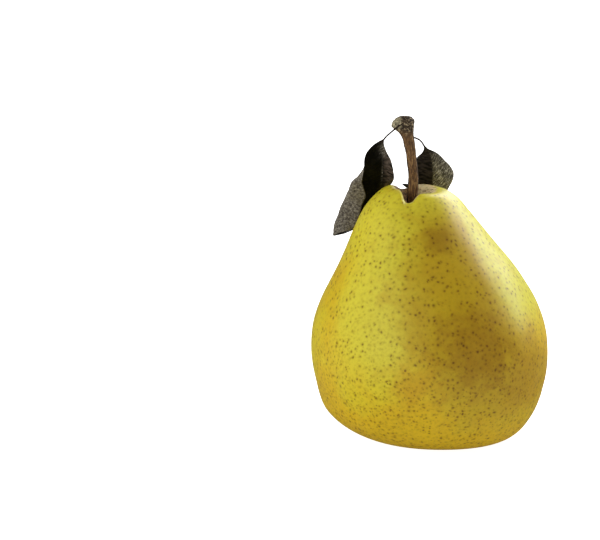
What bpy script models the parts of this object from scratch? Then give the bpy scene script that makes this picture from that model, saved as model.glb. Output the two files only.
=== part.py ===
"""One picked pear standing on its base, with its stem, two dried leaves and the dried calyx in its eye.

+Z is up and the table is at Z = 0. -Y is the front, where the stem's hollow is notched.
The origin is on the table, under the middle of the whole pear's box.
Every length below is in millimetres, and loft() turns them into metres.
"""

import math

import bmesh
import bpy
import numpy as np

MM = 0.001
# Share of a line's length over which its direction is measured.
SLOPE_STEP = 0.004

# The fruit.
BELLY_RADIUS = 38.0
SHOULDER_RADIUS = 12.1
RIM_RADIUS = 7.2
RIM_HEIGHT = 80.5
EYE_RADIUS = 13.0
EYE_DEPTH = 7.6
FRUIT_SIDES = 56
FRUIT_RINGS = 44
# Up one side from the floor of the eye to the floor of the stem's hollow.
# Each row is (radius, height, x of the ring's middle, y of the ring's middle).
OUTLINE = [
    (0.6, EYE_DEPTH, 1.6, 0.0),
    (3.2, 7.4, 1.6, 0.0),
    (6.4, 5.4, 1.6, 0.0),
    (9.4, 1.8, 1.6, 0.0),
    (EYE_RADIUS, 0.0, 1.9, 1.1),
    (17.0, 0.0, 3.0, 1.8),
    (23.7, 1.2, 3.7, 2.0),
    (30.1, 4.5, 1.8, 1.3),
    (33.9, 9.1, 0.9, 0.7),
    (36.4, 16.7, 0.8, 0.2),
    (BELLY_RADIUS, 28.0, 0.4, 0.0),
    (36.7, 37.3, 0.2, 0.0),
    (32.2, 48.1, -0.4, 0.0),
    (27.7, 56.0, -1.3, 0.0),
    (23.9, 61.9, -2.6, 0.0),
    (19.9, 68.0, -3.8, 0.0),
    (16.3, 73.4, -4.6, 0.0),
    (SHOULDER_RADIUS, 78.2, -4.4, 0.0),
    (9.6, 80.0, -4.5, -0.2),
    (RIM_RADIUS, RIM_HEIGHT, -4.9, -0.4),
    (4.9, 79.5, -5.6, -0.9),
    (3.3, 77.5, -6.2, -1.2),
    (2.0, 76.0, -6.4, -1.3),
    (0.7, 75.6, -6.4, -1.3),
]
# How far along the outline the rim of the hollow comes, and how far to each side of it the rim is shaped.
RIM_SHARE = 0.925
RIM_REACH = 0.07
# The rim stands highest at one angle round it and dips towards another.
RIM_TILT = 0.7
RIM_CREST = math.radians(185.0)
RIM_DIP = 2.1
RIM_LOW = math.radians(118.0)
RIM_LOW_REACH = 0.5
# The notch in front of the stem: its middle in x and y, its depth, and its reach left, right, back and along.
NOTCH_X = -7.4
NOTCH_Y = -6.8
NOTCH_DEPTH = 3.6
NOTCH_LEFT = 1.9
NOTCH_RIGHT = 2.2
NOTCH_BACK = 4.2
NOTCH_ALONG = 0.09
# Ribs that run up the fruit, as (how many round it, depth as a share of the radius, angle of one crest).
RIBS = [(2, 0.008, 60.0), (3, 0.012, 200.0), (5, 0.009, 20.0)]

# The stem's middle line, from its foot in the hollow to the top of its knob.
STEM_LINE = [
    (-6.3, -1.2, 75.95),
    (-6.1, -1.2, 78.2),
    (-5.9, -1.2, 84.3),
    (-6.5, -1.2, 89.7),
    (-7.0, -1.2, 93.5),
    (-7.6, -1.2, 96.4),
    (-8.1, -1.2, 98.4),
    (-8.8, -1.2, 101.0),
    (-8.9, -1.2, 103.3),
]
# Half width across and front to back, at shares of the way up the stem.
STEM_GIRTH = [
    (0.00, 1.35, 1.35),
    (0.10, 1.68, 1.65),
    (0.30, 1.62, 1.60),
    (0.50, 1.62, 1.55),
    (0.68, 1.80, 1.70),
    (0.80, 2.10, 1.95),
    (0.88, 2.90, 2.50),
    (0.94, 3.10, 2.60),
    (0.98, 2.50, 2.20),
    (1.00, 1.50, 1.30),
]
STEM_SIDES = 18
STEM_RINGS = 30
# The knob's lip, where the twig's scar is: how far it reaches out to the left, and where up the stem.
LIP_REACH = 0.35
LIP_SHARE = 0.92
LIP_SPREAD = 0.05

# The leaves. A stalk turns into a blade over a short share of the leaf's length.
LEAF_THICKNESS = 0.45
STALK_THICKNESS = 0.62
STALK_HALF = 0.31
BLADE_START = 0.08
LEAF_STATIONS = 34
BEND_STEPS = 4

# The calyx. The sepals root near the middle of the eye and are as long as they reach outwards.
EYE_MIDDLE = OUTLINE[0][2:]
SEPALS = 5
SEPAL_WIDTH = 2.9
SEPAL_THICKNESS = 0.5
SEPAL_ROOT = 2.4
SEPAL_REACH = 4.2
SEPAL_HEIGHT = 6.3
SEPAL_DROOP = 3.2
SEPAL_TIP_LIFT = 1.2
SEPAL_FIRST_ANGLE = 0.3
SEPAL_SIDES = 8
SEPAL_STATIONS = 7
# The stamens' tuft, from its root down, as (height, radius).
TUFT_OUTLINE = [(7.15, 1.3), (5.6, 1.5), (4.3, 1.7), (3.2, 1.2)]
TUFT_SIDES = 10


def smooth(knots, values, at):
    """Value at a place on the smooth curve through these values, a cubic with matched slopes at each knot."""
    knots = np.asarray(knots, float)
    values = np.asarray(values, float)
    slopes = np.gradient(values, knots, axis=0)
    i = int(np.clip(np.searchsorted(knots, at, side="right") - 1, 0, len(knots) - 2))
    gap = knots[i + 1] - knots[i]
    u = (at - knots[i]) / gap
    return (
        (2 * u**3 - 3 * u**2 + 1) * values[i]
        + (u**3 - 2 * u**2 + u) * gap * slopes[i]
        + (3 * u**2 - 2 * u**3) * values[i + 1]
        + (u**3 - u**2) * gap * slopes[i + 1]
    )


def stations(line):
    """Share of a line's length at which each of its points comes."""
    steps = np.linalg.norm(np.diff(np.asarray(line, float), axis=0), axis=1)
    knots = np.concatenate([[0.0], np.cumsum(steps)])
    return knots / knots[-1]


def along(line, share):
    """Point at a share of the length of the smooth curve through a line of points."""
    return smooth(stations(line), line, share)


def from_table(table, at):
    """Row of a table of (place, value, value...) at any place, without the place itself."""
    table = np.asarray(table, float)
    return smooth(table[:, 0], table[:, 1:], at)


def bump(distance, reach):
    """1 at the middle, falling smoothly to nearly 0 at twice the reach."""
    return math.exp(-((distance / reach) ** 2))


def fruit_point(share, angle):
    """A point of the skin. The share runs up the outline, and the angle runs round from +X."""
    radius, height, middle_x, middle_y = along(OUTLINE, share)
    swell = 1.0
    for count, depth, crest in RIBS:
        swell += depth * math.cos(count * (angle - math.radians(crest)))
    x = middle_x + radius * swell * math.cos(angle)
    y = middle_y + radius * swell * math.sin(angle)
    z = height
    # The rim of the hollow: high on the left, low behind it, and notched in front of the stem.
    near_rim = bump(share - RIM_SHARE, RIM_REACH)
    z += near_rim * RIM_TILT * math.cos(angle - RIM_CREST)
    z -= near_rim * RIM_DIP * bump(math.remainder(angle - RIM_LOW, math.tau), RIM_LOW_REACH)
    from_notch = x - NOTCH_X
    if from_notch < 0.0:
        notch = math.exp(-((from_notch / NOTCH_LEFT) ** 4))
    else:
        notch = bump(from_notch, NOTCH_RIGHT)
    notch *= bump(y - NOTCH_Y, NOTCH_BACK) * bump(share - RIM_SHARE, NOTCH_ALONG)
    z -= NOTCH_DEPTH * notch
    return x, y, max(z, 0.0)


def frame_along(line, share, across):
    """Point on a line, with its side direction, as near as it can be to across, and its face direction."""
    here = along(line, share)
    ahead = along(line, min(share + SLOPE_STEP, 1.0)) - along(line, max(share - SLOPE_STEP, 0.0))
    ahead /= np.linalg.norm(ahead)
    side = np.asarray(across, float)
    side -= ahead * side.dot(ahead)
    side /= np.linalg.norm(side)
    return here, side, np.cross(ahead, side)


def loft(name, rings, material):
    """One closed body through rings of points, each ring joined to the next, with a face over each end."""
    shape = bmesh.new()
    made = [[shape.verts.new([c * MM for c in point]) for point in ring] for ring in rings]
    for lower, upper in zip(made, made[1:]):
        for i in range(len(lower)):
            j = (i + 1) % len(lower)
            shape.faces.new((lower[i], lower[j], upper[j], upper[i]))
    shape.faces.new(reversed(made[0]))
    shape.faces.new(made[-1])
    bmesh.ops.recalc_face_normals(shape, faces=shape.faces)
    mesh = bpy.data.meshes.new(name)
    shape.to_mesh(mesh)
    shape.free()
    mesh.shade_smooth()
    mesh.set_sharp_from_angle(angle=math.radians(50))
    mesh.materials.append(material)
    piece = bpy.data.objects.new(name, mesh)
    bpy.context.scene.collection.objects.link(piece)
    return piece


def plain_material(name, colour, roughness):
    material = bpy.data.materials.new(name)
    material.use_nodes = True
    shader = material.node_tree.nodes["Principled BSDF"]
    shader.inputs["Base Color"].default_value = (*colour, 1.0)
    shader.inputs["Roughness"].default_value = roughness
    shader.inputs["Metallic"].default_value = 0.0
    return material


def turn(count):
    """Angles of an even ring."""
    return [math.tau * i / count for i in range(count)]


def make_fruit(material):
    """The flesh and its skin are one solid, hollowed at the base for the eye and at the top for the stem."""
    # Every point of the outline has a ring, so that the base is truly flat between two of them.
    shares = [0.0]
    knots = stations(OUTLINE)
    for low, high in zip(knots, knots[1:]):
        parts = max(1, round((high - low) * FRUIT_RINGS))
        shares += [low + (high - low) * (k + 1) / parts for k in range(parts)]
    rings = [[fruit_point(share, angle) for angle in turn(FRUIT_SIDES)] for share in shares]
    return loft("fruit", rings, material)


def make_stem(material):
    """The woody stalk, which swells at the top into the knob where it broke from the twig."""
    rings = []
    for i in range(STEM_RINGS):
        share = i / (STEM_RINGS - 1)
        middle, side, face = frame_along(STEM_LINE, share, (1.0, 0.0, 0.0))
        half_width, half_depth = from_table(STEM_GIRTH, share)
        ring = []
        for angle in turn(STEM_SIDES):
            lip = 1.0 + LIP_REACH * bump(share - LIP_SHARE, LIP_SPREAD) * max(0.0, -math.cos(angle))
            outward = side * half_width * lip * math.cos(angle) + face * half_depth * math.sin(angle)
            ring.append(middle + outward)
        rings.append(ring)
    return loft("stem", rings, material)


def half_blade(half, fold, curl, crease, spread):
    """Points out from the midrib, as (distance out, rise towards the face, slope), on one half of a blade.

    The half leaves the midrib at its fold angle and bends by its curl, in a crease at a share of its width.
    """
    stops = [0.0, 0.5 * (crease - spread), crease - spread, crease - 0.5 * spread, crease]
    stops += [crease + 0.5 * spread, crease + spread, 0.5 * (crease + spread + 1.0), 1.0]
    out, rise, reach = 0.0, 0.0, 0.0
    points = [(0.0, 0.0, 0.5 * fold)]
    for stop in stops[1:]:
        step = (stop - reach) / BEND_STEPS
        for _ in range(BEND_STEPS):
            reach += step
            turned = min(1.0, max(0.0, (reach - 0.5 * step - crease + spread) / (2.0 * spread)))
            slope = fold + curl * turned * turned * (3.0 - 2.0 * turned)
            out += math.cos(slope) * step * half
            rise += math.sin(slope) * step * half
        points.append((out, rise, slope))
    return points


def leaf_section(share, leaf):
    """Ring of points round one cross-section of a leaf, from its left margin over the face and back."""
    middle, side, face = frame_along(leaf["line"], share, leaf["across"])
    half_left, half_right = np.maximum(from_table(leaf["width"], share), STALK_HALF)
    fold_left, curl_left, crease, fold_right, curl_right = from_table(leaf["curl"], share)
    angles = [math.radians(angle) for angle in (fold_left, curl_left, fold_right, curl_right)]
    left = half_blade(half_left, angles[0], angles[1], crease, leaf["spread"])
    right = half_blade(half_right, angles[2], angles[3], 0.5, 0.4)
    blade = min(1.0, max(0.0, (share - leaf["stalk"]) / BLADE_START))
    thickness = STALK_THICKNESS + (LEAF_THICKNESS - STALK_THICKNESS) * blade
    front, back = [], []
    for sign, points in ((-1.0, left[:0:-1]), (1.0, right)):
        for i, (out, rise, slope) in enumerate(points):
            point = middle + side * sign * out + face * rise
            normal = face * math.cos(slope) - side * sign * math.sin(slope)
            if out == 0.0:
                normal = face
            place = (len(points) - i) / len(points) if sign < 0 else i / (len(points) - 1)
            half_thickness = 0.5 * thickness * math.sqrt(max(0.0, 1.0 - place ** (2 + 12 * blade)))
            front.append(point + normal * half_thickness)
            back.append(point - normal * half_thickness)
    return front + back[-2:0:-1]


def make_leaf(name, leaf, material):
    """A leaf is its thread-thin stalk and its blade, dried stiff together."""
    rings = [leaf_section(i / (LEAF_STATIONS - 1), leaf) for i in range(LEAF_STATIONS)]
    return loft(name, rings, material)


# The line of each leaf runs down its stalk and midrib, and its face is towards the front.
# Widths are (share, left half, right half).
# Curls are (share, left fold, left curl, left crease, right fold, right curl), in degrees but for the crease.
LEFT_LEAF = {
    "line": [
        (-9.8, -4.6, 101.5),
        (-12.4, -3.0, 99.2),
        (-15.7, 0.8, 94.6),
        (-15.5, 4.0, 87.6),
        (-15.5, 8.5, 80.8),
        (-16.8, 11.2, 74.7),
        (-20.2, 11.9, 69.3),
        (-25.2, 9.4, 65.4),
        (-30.5, 6.0, 63.7),
    ],
    "across": (1.0, 0.15, 0.0),
    "stalk": 0.19,
    "spread": 0.09,
    "width": [
        (0.00, STALK_HALF, STALK_HALF),
        (0.18, STALK_HALF, STALK_HALF),
        (0.22, 2.4, 0.8),
        (0.26, 4.9, 1.6),
        (0.35, 7.2, 4.0),
        (0.42, 10.0, 4.5),
        (0.49, 13.4, 3.8),
        (0.61, 16.6, 3.2),
        (0.70, 16.3, 2.7),
        (0.78, 15.8, 2.2),
        (0.88, 14.6, 1.2),
        (0.95, 10.6, 1.0),
        (1.00, 0.4, 0.3),
    ],
    "curl": [
        (0.00, 0.0, 0.0, 0.80, 0.0, 0.0),
        (0.18, 0.0, 0.0, 0.80, 0.0, 0.0),
        (0.30, 10.0, 30.0, 0.80, 25.0, 20.0),
        (0.40, 8.0, 110.0, 0.80, 30.0, 20.0),
        (0.49, 0.0, 165.0, 0.72, 16.0, 10.0),
        (0.61, 0.0, 172.0, 0.62, -40.0, -10.0),
        (0.70, 0.0, 172.0, 0.61, -45.0, -10.0),
        (0.78, 0.0, 172.0, 0.54, -42.0, -8.0),
        (0.88, 0.0, 172.0, 0.43, -20.0, 0.0),
        (0.95, 0.0, 168.0, 0.35, -8.0, 0.0),
        (1.00, 0.0, 160.0, 0.35, 0.0, 0.0),
    ],
}
RIGHT_LEAF = {
    "line": [
        (-5.6, 0.2, 96.4),
        (-3.6, 2.5, 94.9),
        (-2.1, 4.5, 92.5),
        (-0.1, 6.5, 89.3),
        (0.8, 9.0, 84.3),
        (1.1, 12.2, 79.0),
        (0.8, 16.6, 73.5),
        (0.2, 20.6, 68.5),
    ],
    "across": (1.0, 0.0, 0.0),
    "stalk": 0.17,
    "spread": 0.4,
    "width": [
        (0.00, STALK_HALF, STALK_HALF),
        (0.17, STALK_HALF, STALK_HALF),
        (0.21, 1.0, 0.5),
        (0.25, 2.1, 1.0),
        (0.30, 3.4, 1.7),
        (0.38, 5.4, 3.5),
        (0.46, 6.6, 5.3),
        (0.56, 7.5, 7.5),
        (0.64, 7.8, 8.6),
        (0.73, 8.2, 8.1),
        (0.77, 10.6, 7.2),
        (0.80, 8.0, 6.4),
        (0.85, 5.6, 4.8),
        (0.93, 3.0, 2.6),
        (1.00, 0.4, 0.4),
    ],
    "curl": [
        (0.00, 0.0, 0.0, 0.5, 0.0, 0.0),
        (0.17, 0.0, 0.0, 0.5, 0.0, 0.0),
        (0.30, -25.0, -10.0, 0.5, -20.0, -10.0),
        (0.46, -28.0, -5.0, 0.5, -25.0, -15.0),
        (0.63, -20.0, 0.0, 0.5, -25.0, -20.0),
        (0.82, -20.0, 0.0, 0.5, -20.0, -10.0),
        (1.00, 0.0, 0.0, 0.5, 0.0, 0.0),
    ],
}


def make_sepal(index, material):
    """A dried calyx lobe: rooted in the eye's wall, arched down and out, and curled back at its tip."""
    turned = math.tau * index / SEPALS + SEPAL_FIRST_ANGLE
    out = np.array([math.cos(turned), math.sin(turned), 0.0])
    aside = np.array([-math.sin(turned), math.cos(turned), 0.0])
    up = np.array([0.0, 0.0, 1.0])
    centre = np.array([*EYE_MIDDLE, 0.0])
    rings = []
    for i in range(SEPAL_STATIONS):
        share = i / (SEPAL_STATIONS - 1)
        height = SEPAL_HEIGHT - SEPAL_DROOP * share + SEPAL_TIP_LIFT * share**3
        middle = centre + out * (SEPAL_ROOT + SEPAL_REACH * share) + up * height
        # The lobe narrows to a blunt point and thins on the way.
        half_width = 0.5 * SEPAL_WIDTH * math.cos(0.48 * math.pi * share) ** 0.7
        half_thick = 0.5 * SEPAL_THICKNESS * (1.0 - 0.4 * share)
        ring = []
        for angle in turn(SEPAL_SIDES):
            ring.append(middle + aside * half_width * math.cos(angle) + up * half_thick * math.sin(angle))
        rings.append(ring)
    return loft(f"sepal_{index + 1}", rings, material)


def make_stamen_tuft(material):
    """The dried stamens and styles, a small tuft that stands in the middle of the eye."""
    x, y = EYE_MIDDLE
    rings = []
    for height, radius in TUFT_OUTLINE:
        ring = [(x + radius * math.cos(a), y + radius * math.sin(a), height) for a in turn(TUFT_SIDES)]
        rings.append(ring)
    return loft("stamen_tuft", rings, material)


def centre_over_origin(pieces):
    """Moves the meshes together so that the middle of their box is over the origin."""
    corners = np.array([vertex.co[:] for piece in pieces for vertex in piece.data.vertices])
    middle = (corners.min(axis=0) + corners.max(axis=0)) / 2
    for piece in pieces:
        for vertex in piece.data.vertices:
            vertex.co.x -= middle[0]
            vertex.co.y -= middle[1]


for old in list(bpy.data.objects):
    bpy.data.objects.remove(old)

skin = plain_material("pear_skin", (0.56, 0.44, 0.05), 0.42)
bark = plain_material("stem_bark", (0.10, 0.06, 0.03), 0.85)
dry_leaf = plain_material("dry_leaf", (0.05, 0.04, 0.03), 0.80)
dry_calyx = plain_material("dry_calyx", (0.07, 0.04, 0.02), 0.90)

fruit = make_fruit(skin)
stem = make_stem(bark)
left_leaf = make_leaf("left_leaf", LEFT_LEAF, dry_leaf)
right_leaf = make_leaf("right_leaf", RIGHT_LEAF, dry_leaf)
sepals = [make_sepal(index, dry_calyx) for index in range(SEPALS)]
tuft = make_stamen_tuft(dry_calyx)
centre_over_origin([fruit, stem, left_leaf, right_leaf, *sepals, tuft])
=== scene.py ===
"""The looks of one picked pear, standing on its base, with its stem, dried leaves and calyx.

+Z is up and -Y is the front. Lengths are in millimetres until a mesh is made, which is in metres.
"""

import math

import bpy
import numpy as np
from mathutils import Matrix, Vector, noise


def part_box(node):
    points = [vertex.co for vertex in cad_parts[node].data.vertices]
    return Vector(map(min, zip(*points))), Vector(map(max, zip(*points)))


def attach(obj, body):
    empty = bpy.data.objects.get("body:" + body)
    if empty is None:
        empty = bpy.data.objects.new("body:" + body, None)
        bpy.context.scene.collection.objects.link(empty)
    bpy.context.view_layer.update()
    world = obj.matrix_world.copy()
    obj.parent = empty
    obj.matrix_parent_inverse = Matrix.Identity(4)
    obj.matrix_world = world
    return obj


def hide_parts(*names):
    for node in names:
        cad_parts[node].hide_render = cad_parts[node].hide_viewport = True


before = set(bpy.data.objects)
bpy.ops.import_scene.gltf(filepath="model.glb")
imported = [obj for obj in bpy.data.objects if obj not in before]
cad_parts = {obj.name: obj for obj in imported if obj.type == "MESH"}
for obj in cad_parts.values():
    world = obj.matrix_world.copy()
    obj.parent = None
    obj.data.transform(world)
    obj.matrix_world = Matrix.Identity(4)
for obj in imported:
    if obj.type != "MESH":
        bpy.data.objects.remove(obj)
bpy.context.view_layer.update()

# ---------------------------------------------------------------------------------------------------------
# Camera. A long lens two thirds of a metre away and a little above the table, looking down a little, with the
# pear standing right of the middle.
MM = 0.001
VIEW_DOWN = math.radians(15.0)
VIEW_DISTANCE = 620.0
AIM = Vector((-41.3, 0.0, 53.6))
LENS_MM = 117.5

look = Vector((0.0, math.cos(VIEW_DOWN), -math.sin(VIEW_DOWN)))
camera = bpy.data.objects.new("camera", bpy.data.cameras.new("camera"))
camera.data.lens = LENS_MM
camera.data.sensor_width = 36.0
camera.data.clip_start = 0.01
camera.data.clip_end = 30.0
camera.location = (AIM - look * VIEW_DISTANCE) * MM
camera.rotation_euler = look.to_track_quat("-Z", "Y").to_euler()
bpy.context.scene.collection.objects.link(camera)
bpy.context.scene.camera = camera
bpy.context.scene.view_settings.view_transform = "Standard"

# ---------------------------------------------------------------------------------------------------------
# Fruit. Flesh and skin, grown as one piece: a hollow in the top where the stem grows out, notched in front,
# and an eye in the base. It stands on the ring round the eye.
BELLY_RADIUS = 38.0
SHOULDER_RADIUS = 12.1
RIM_RADIUS = 7.2
RIM_HEIGHT = 80.5
EYE_RADIUS = 13.0
EYE_DEPTH = 7.6
FRUIT_SIDES = 432
# From the floor of the eye to the floor of the stem's hollow, as (radius, height, x and y of the middle).
OUTLINE = [
    (0.6, EYE_DEPTH, 1.6, 0.0),
    (3.2, 7.4, 1.6, 0.0),
    (6.4, 5.4, 1.6, 0.0),
    (9.4, 1.8, 1.6, 0.0),
    (EYE_RADIUS, 0.0, 1.9, 1.1),
    (17.0, 0.0, 3.0, 1.8),
    (23.7, 1.2, 3.7, 2.0),
    (30.1, 4.5, 1.8, 1.3),
    (33.9, 9.1, 0.9, 0.7),
    (36.4, 16.7, 0.8, 0.2),
    (BELLY_RADIUS, 28.0, 0.4, 0.0),
    (36.7, 37.3, 0.2, 0.0),
    (32.2, 48.1, -0.4, 0.0),
    (27.7, 56.0, -1.3, 0.0),
    (23.9, 61.9, -2.6, 0.0),
    (19.9, 68.0, -3.8, 0.0),
    (16.3, 73.4, -4.6, 0.0),
    (SHOULDER_RADIUS, 78.2, -4.4, 0.0),
    (9.6, 80.0, -4.5, -0.2),
    (RIM_RADIUS, RIM_HEIGHT, -4.9, -0.4),
    (4.9, 79.5, -5.6, -0.9),
    (3.3, 77.5, -6.2, -1.2),
    (2.0, 76.0, -6.4, -1.3),
    (0.7, 75.6, -6.4, -1.3),
]
RIM_SHARE = 0.925
RIM_REACH = 0.07
# The rim is high on the left and low at the back. Angles are in radians from +X.
RIM_TILT = 0.7
RIM_CREST = math.radians(185.0)
RIM_DIP = 2.1
RIM_LOW = math.radians(118.0)
RIM_LOW_REACH = 0.5
# One deep crease runs out of the hollow in front, with a steep left wall and a sloping right one.
NOTCH_X = -7.4
NOTCH_Y = -6.8
NOTCH_DEPTH = 3.6
NOTCH_LEFT = 1.9
NOTCH_RIGHT = 2.2
NOTCH_BACK = 4.2
NOTCH_ALONG = 0.09
# Ribs that run up the fruit, as (how many round it, depth as a share of the radius, angle of one crest).
RIBS = [(2, 0.008, 60.0), (3, 0.012, 200.0), (5, 0.009, 20.0)]
# Soft dents all over the skin, as (spacing, depth), and wavering pleats down into the hollow and the eye.
DENTS = [(21.0, 0.55), (8.0, 0.16), (2.6, 0.035)]
PLEATS = 17
PLEAT_WAVER = 2.0
HOLLOW_PLEAT = 0.10
HOLLOW_PLEAT_SHARE = 0.965
EYE_PLEAT = 0.09
EYE_PLEAT_SHARE = 0.07
# The skin turns corky over this share of the outline as it goes in past the rim, and sooner at the back.
CORK_FADE = 0.035
CORK_BACK = 0.02
# Where rings of points are set along the outline, as (share, rings up to there). They crowd at the rim.
RING_SPREAD = [(0.0, 0), (0.12, 18), (0.2, 30), (0.85, 146), (1.0, 212)]
# The share at the middle of the flat ring.
FOOT_SHARE = 0.135


def smooth(knots, values, at):
    """Values at many places on the smooth curve through these knots, a cubic with matched slopes at each."""
    knots = np.asarray(knots, float)
    values = np.asarray(values, float)
    at = np.asarray(at, float)
    slopes = np.gradient(values, knots, axis=0)
    i = np.clip(np.searchsorted(knots, at, side="right") - 1, 0, len(knots) - 2)
    gap = (knots[i + 1] - knots[i])[:, None]
    u = (at - knots[i])[:, None] / gap
    return (
        (2 * u**3 - 3 * u**2 + 1) * values[i]
        + (u**3 - 2 * u**2 + u) * gap * slopes[i]
        + (3 * u**2 - 2 * u**3) * values[i + 1]
        + (u**3 - u**2) * gap * slopes[i + 1]
    )


def along(line, shares):
    """Points at shares of the length of the smooth curve through a line of points."""
    steps = np.linalg.norm(np.diff(np.asarray(line, float), axis=0), axis=1)
    knots = np.concatenate([[0.0], np.cumsum(steps)])
    return smooth(knots / knots[-1], line, shares)


def bump(distance, reach):
    """1 at the middle, falling smoothly to nearly 0 at twice the reach."""
    return np.exp(-((distance / reach) ** 2))


def soften(rows, width):
    """Rows averaged with their neighbours, over this many rows, with both ends kept."""
    reach = np.arange(-3 * width, 3 * width + 1)
    weights = np.exp(-0.5 * (reach / width) ** 2)
    weights /= weights.sum()
    padded = np.pad(rows, ((3 * width, 3 * width), (0, 0)), mode="reflect", reflect_type="odd")
    return np.stack([np.convolve(column, weights, mode="valid") for column in padded.T], axis=1)


def rough_field(points, scale_mm, seed):
    """Smooth noise from -1 to 1 at each point, with lumps about this many millimetres apart."""
    moved = points / scale_mm + np.array([17.3, -8.1, 5.9]) * seed
    return np.array([noise.noise(Vector(point)) for point in moved.reshape(-1, 3)]).reshape(points.shape[:-1])


def ring_mesh(name, rings, attributes=None):
    """A closed piece through rings of points, in millimetres, with a face over each end.

    Attributes are vectors for each point, which the material reads by name.
    """
    count, sides = rings.shape[:2]
    faces = []
    for i in range(count - 1):
        for j in range(sides):
            k = (j + 1) % sides
            faces.append((i * sides + j, i * sides + k, (i + 1) * sides + k, (i + 1) * sides + j))
    faces.append(tuple(range(sides - 1, -1, -1)))
    faces.append(tuple((count - 1) * sides + j for j in range(sides)))
    mesh = bpy.data.meshes.new(name)
    mesh.from_pydata((rings.reshape(-1, 3) * MM).tolist(), [], faces)
    for key, values in (attributes or {}).items():
        layer = mesh.attributes.new(key, "FLOAT_VECTOR", "POINT")
        layer.data.foreach_set("vector", np.ascontiguousarray(values.reshape(-1), np.float32))
    mesh.validate()
    mesh.shade_smooth()
    piece = bpy.data.objects.new(name, mesh)
    bpy.context.scene.collection.objects.link(piece)
    return piece


fruit_shares = np.interp(
    np.arange(RING_SPREAD[-1][1] + 1),
    [ring for _, ring in RING_SPREAD],
    [share for share, _ in RING_SPREAD],
)
profile = along(OUTLINE, fruit_shares)
softer = soften(profile, 3)
# The flat ring that the fruit stands on, and the floors of both hollows, stay as they are.
keep = sum(bump(fruit_shares - kept_share, 0.03) for kept_share in (FOOT_SHARE, 0.0, 1.0))
profile += (softer - profile) * (1.0 - np.clip(keep, 0.0, 1.0))[:, None]
angles = np.linspace(0.0, math.tau, FRUIT_SIDES, endpoint=False)[None, :]
share = fruit_shares[:, None]
radius, height, middle_x, middle_y = (column[:, None] for column in profile.T)
swell = 1.0 + sum(depth * np.cos(count * (angles - math.radians(crest))) for count, depth, crest in RIBS)
x = middle_x + radius * swell * np.cos(angles)
y = middle_y + radius * swell * np.sin(angles)
z = height + 0.0 * angles
near_rim = bump(share - RIM_SHARE, RIM_REACH)
z += near_rim * RIM_TILT * np.cos(angles - RIM_CREST)
from_low = np.remainder(angles - RIM_LOW + math.pi, math.tau) - math.pi
z -= near_rim * RIM_DIP * bump(from_low, RIM_LOW_REACH)
from_notch = x - NOTCH_X
notch = np.where(from_notch < 0.0, np.exp(-((from_notch / NOTCH_LEFT) ** 4)), bump(from_notch, NOTCH_RIGHT))
notch *= bump(y - NOTCH_Y, NOTCH_BACK)
z -= NOTCH_DEPTH * notch * bump(share - RIM_SHARE, NOTCH_ALONG)
# How corky the skin is: all of it inside the hollow and in the notch, none of it outside the rim.
past_rim = share - RIM_SHARE + CORK_BACK * np.clip(np.sin(angles), 0.0, 1.0)
corky = np.clip(past_rim / CORK_FADE, 0.0, 1.0) + 1.3 * notch * bump(share - RIM_SHARE - 0.005, 0.022)
fruit_rings = np.stack([x, y, z], axis=2)
outward = np.stack([np.cos(angles) + 0 * share, np.sin(angles) + 0 * share, 0 * angles + 0 * share], axis=2)
dents = sum(depth * rough_field(fruit_rings, spacing, i) for i, (spacing, depth) in enumerate(DENTS, 1))
standing = np.clip((fruit_rings[:, :, 2] - 0.6) / 9.0, 0.0, 1.0)
fruit_rings += outward * (dents * standing * np.clip(radius / 10.0, 0.0, 1.0))[:, :, None]
pleats = np.cos(angles * PLEATS + PLEAT_WAVER * rough_field(fruit_rings, 5.0, 4))
fruit_rings[:, :, 2] += HOLLOW_PLEAT * pleats * bump(share - HOLLOW_PLEAT_SHARE, 0.018)
off_table = fruit_rings[:, :, 2] > 1.0
fruit_rings[:, :, 2] += EYE_PLEAT * pleats * bump(share - EYE_PLEAT_SHARE, 0.03) * off_table
fruit_rings[:, :, 2] = np.maximum(fruit_rings[:, :, 2], 0.0)

# The outline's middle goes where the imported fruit's box has its middle, and the other pieces move with it.
cad_low, cad_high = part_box("fruit")
low = fruit_rings.min(axis=(0, 1))
high = fruit_rings.max(axis=(0, 1))
SHIFT = np.array([
    (cad_low.x + cad_high.x) / 2 / MM - (low[0] + high[0]) / 2,
    (cad_low.y + cad_high.y) / 2 / MM - (low[1] + high[1]) / 2,
    0.0,
])
corky_rows = np.stack([np.clip(corky, 0.0, 1.0), 0.0 * corky, 0.0 * corky], axis=2)
fruit = ring_mesh("pear_fruit", fruit_rings + SHIFT, {"corky": corky_rows})


def colour(hex_code):
    """Linear colour of an sRGB hex code."""
    channels = [int(hex_code[i : i + 2], 16) / 255 for i in (1, 3, 5)]
    return (*[c / 12.92 if c <= 0.04045 else ((c + 0.055) / 1.055) ** 2.4 for c in channels], 1.0)


def add_node(tree, kind, settings=None, inputs=None):
    """Adds a node, sets its properties, and sets or links its inputs by name or number.

    An input that is given a node takes that node's first working output. A colour ramp's stops are given as
    (position, hex code).
    """
    node = tree.nodes.new("ShaderNode" + kind)
    for key, value in (settings or {}).items():
        if key == "stops":
            stops = node.color_ramp.elements
            for stop, (position, hex_code) in zip(stops, (value[0], value[-1])):
                stop.position = position
                stop.color = colour(hex_code)
            for position, hex_code in value[1:-1]:
                stops.new(position).color = colour(hex_code)
        else:
            setattr(node, key, value)
    for key, value in (inputs or {}).items():
        if isinstance(value, bpy.types.Node):
            value = next(output for output in value.outputs if output.enabled)
        if isinstance(value, bpy.types.NodeSocket):
            tree.links.new(value, node.inputs[key])
        else:
            node.inputs[key].default_value = value
    return node


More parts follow.
